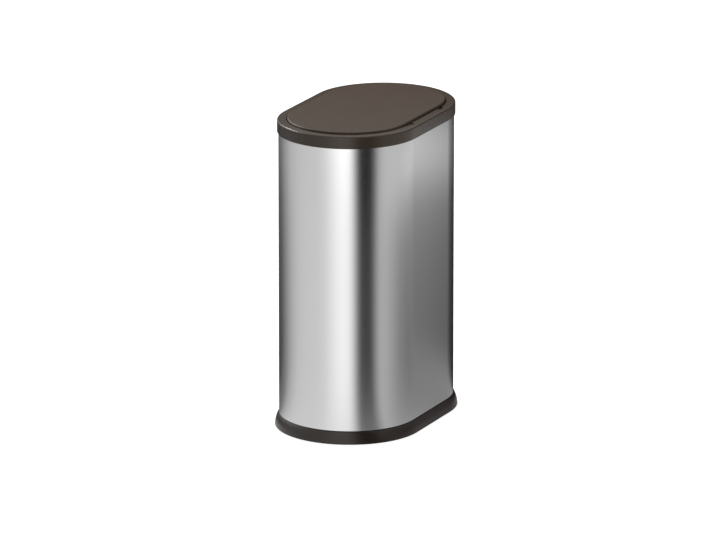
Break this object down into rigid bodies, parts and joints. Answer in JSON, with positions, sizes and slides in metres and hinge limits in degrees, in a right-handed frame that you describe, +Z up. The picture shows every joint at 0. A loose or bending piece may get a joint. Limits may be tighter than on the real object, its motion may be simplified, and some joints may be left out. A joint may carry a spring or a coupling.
{
  "type": "lidded trash can",
  "caption": "Stadium-plan satin steel kitchen trash can with a flared plastic base, a lift-off collar with a hinged push-latch lid, and an inner bucket that lifts out.",
  "frame": {"origin": "on the floor, under the middle of the can", "axes": "+Z up; +X along the long side; the lid's front edge faces -Y and its hinge is along +Y"},
  "size_m": [0.432, 0.2842, 0.6024],
  "materials": {
    "satin_steel": "satin stainless steel",
    "pan_steel": "pressed galvanised steel",
    "zinc_steel": "zinc-plated steel",
    "spring_steel": "bright drawn steel",
    "magnet": "nickel-plated magnet",
    "collar_plastic": "fine-textured brown polypropylene",
    "lid_plastic": "fine-textured brown polypropylene",
    "base_plastic": "dark brown polypropylene",
    "frame_plastic": "dark polypropylene",
    "bucket_plastic": "grey polypropylene",
    "acetal": "black acetal",
    "rubber": "black rubber"
  },
  "bodies": {
    "can": {"body_shell": "satin_steel", "base_skirt": "base_plastic", "base_floor": "pan_steel", "base_screws": "zinc_steel", "foot_pads": "rubber"},
    "bucket": {"inner_bucket": "bucket_plastic"},
    "top": {"top_collar": "collar_plastic", "collar_frame": "frame_plastic", "collar_screws": "zinc_steel", "hinge_block_left": "acetal", "hinge_block_right": "acetal", "hinge_screws": "zinc_steel", "lid_bumpers": "rubber", "latch_housing": "acetal", "latch_screws": "zinc_steel", "latch_spring": "spring_steel"},
    "plunger": {"latch_plunger": "acetal", "latch_magnet": "magnet"},
    "lid": {"lid_panel": "lid_plastic", "lid_underpan": "frame_plastic", "lid_screws": "zinc_steel", "strike_plate": "zinc_steel", "hinge_pin_left": "spring_steel", "hinge_pin_right": "spring_steel"}
  },
  "joints": [
    {"name": "bucket_lift", "type": "slide", "parent": "can", "child": "bucket", "axis": [0, 0, 1], "range_m": [0, 0.6]},
    {"name": "top_lift", "type": "slide", "parent": "bucket", "child": "top", "axis": [0, 0, 1], "range_m": [0, 0.12]},
    {"name": "lid_hinge", "type": "hinge", "parent": "top", "child": "lid", "pos_m": [0, 0.122, 0.5939], "axis": [-1, 0, 0], "range_deg": [0, 95]},
    {"name": "latch_press", "type": "slide", "parent": "top", "child": "plunger", "axis": [0, 0, -1], "range_m": [0, 0.0025], "stiffness_N_per_m": 800, "deforming": ["latch_spring"]}
  ]
}
